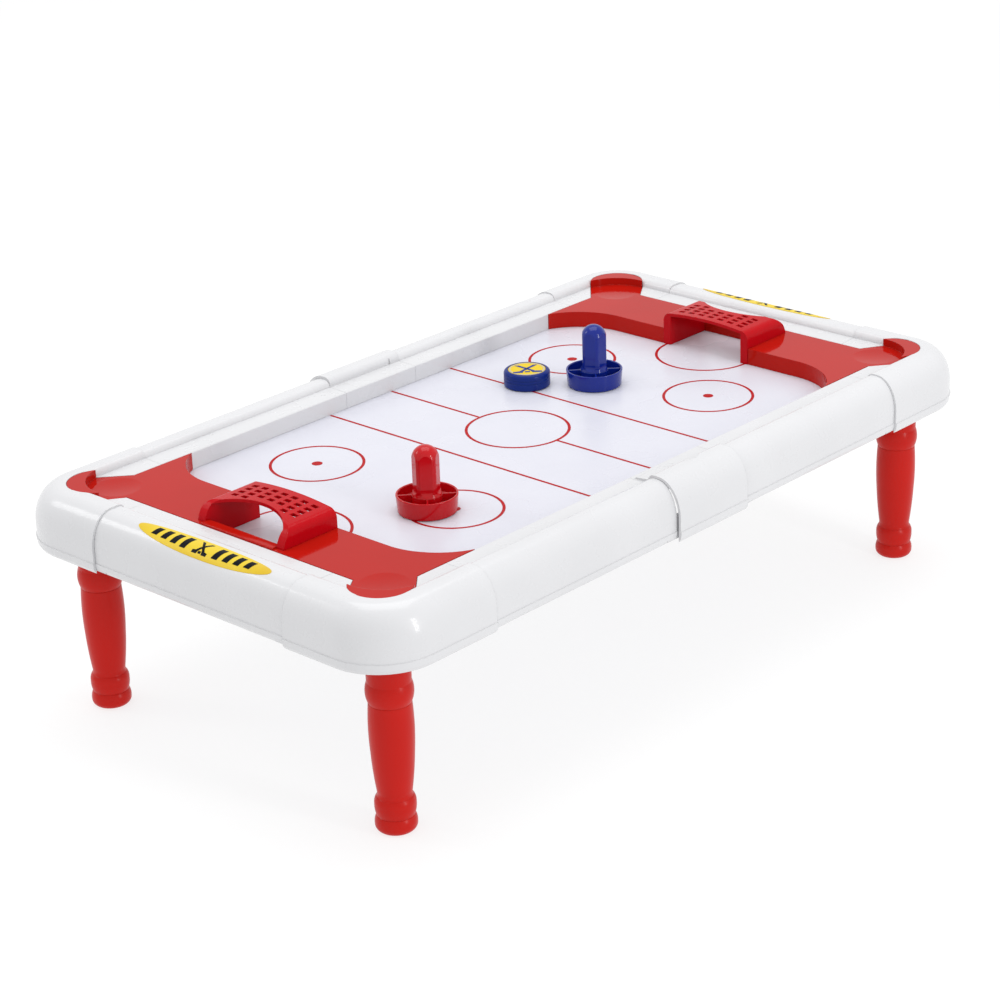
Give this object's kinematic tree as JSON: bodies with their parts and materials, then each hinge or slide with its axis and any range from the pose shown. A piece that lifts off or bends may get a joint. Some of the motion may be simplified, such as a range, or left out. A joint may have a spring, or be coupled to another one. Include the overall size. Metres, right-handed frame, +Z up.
{
  "type": "tabletop hockey game",
  "caption": "Low tabletop slide-hockey game: moulded rail frame on turned legs, end plates with perforated goal hoods, lined board, knobbed mallets and a puck.",
  "frame": {"origin": "on the floor, midway between the feet", "axes": "+X along the long axis towards the far goal, +Y across towards the left rail, +Z up"},
  "size_m": [0.8516, 0.4864, 0.2643],
  "materials": {
    "frame_white": "smooth moulded, light gloss",
    "board_print": "printed hardboard, smooth lacquer",
    "plate_red": "gloss",
    "hood_red": "gloss",
    "leg_red": "gloss, blow-moulded",
    "label_yellow": "printed film",
    "mallet_red": "gloss",
    "mallet_blue": "gloss",
    "puck_blue": "satin",
    "puck_yellow": "printed film"
  },
  "bodies": {
    "frame": {"corner_shell_far_left": "frame_white", "corner_shell_far_right": "frame_white", "corner_shell_near_left": "frame_white", "corner_shell_near_right": "frame_white", "end_rail_far": "frame_white", "end_rail_near": "frame_white", "side_rail_left_far": "frame_white", "side_rail_left_near": "frame_white", "side_rail_right_near": "frame_white", "side_rail_right_far": "frame_white", "rail_joiner_left": "frame_white", "rail_joiner_right": "frame_white", "field_board": "board_print", "end_plate_far": "plate_red", "end_plate_near": "plate_red", "goal_hood_far": "hood_red", "goal_hood_near": "hood_red", "end_label_far": "label_yellow", "end_label_near": "label_yellow"},
    "leg_far_left": {"leg_far_left": "leg_red"},
    "leg_far_right": {"leg_far_right": "leg_red"},
    "leg_near_left": {"leg_near_left": "leg_red"},
    "leg_near_right": {"leg_near_right": "leg_red"},
    "mallet_red": {"mallet_red_cup": "mallet_red", "mallet_red_knob": "mallet_red"},
    "mallet_blue": {"mallet_blue_cup": "mallet_blue", "mallet_blue_knob": "mallet_blue"},
    "puck": {"puck_body": "puck_blue", "puck_disc": "puck_yellow"}
  },
  "joints": [
    {"name": "leg_far_left_pull", "type": "slide", "parent": "frame", "child": "leg_far_left", "axis": [0, 0, -1], "range_m": [0, 0.025]},
    {"name": "leg_far_right_pull", "type": "slide", "parent": "frame", "child": "leg_far_right", "axis": [0, 0, -1], "range_m": [0, 0.025]},
    {"name": "leg_near_left_pull", "type": "slide", "parent": "frame", "child": "leg_near_left", "axis": [0, 0, -1], "range_m": [0, 0.025]},
    {"name": "leg_near_right_pull", "type": "slide", "parent": "frame", "child": "leg_near_right", "axis": [0, 0, -1], "range_m": [0, 0.025]},
    {"name": "mallet_red_slide", "type": "slide", "parent": "frame", "child": "mallet_red", "axis": [1, 0, 0], "range_m": [-0.075, 0.154]},
    {"name": "mallet_blue_slide", "type": "slide", "parent": "frame", "child": "mallet_blue", "axis": [1, 0, 0], "range_m": [-0.1215, 0.1085]},
    {"name": "puck_slide", "type": "slide", "parent": "frame", "child": "puck", "axis": [1, 0, 0], "range_m": [-0.3645, 0.1415]}
  ]
}
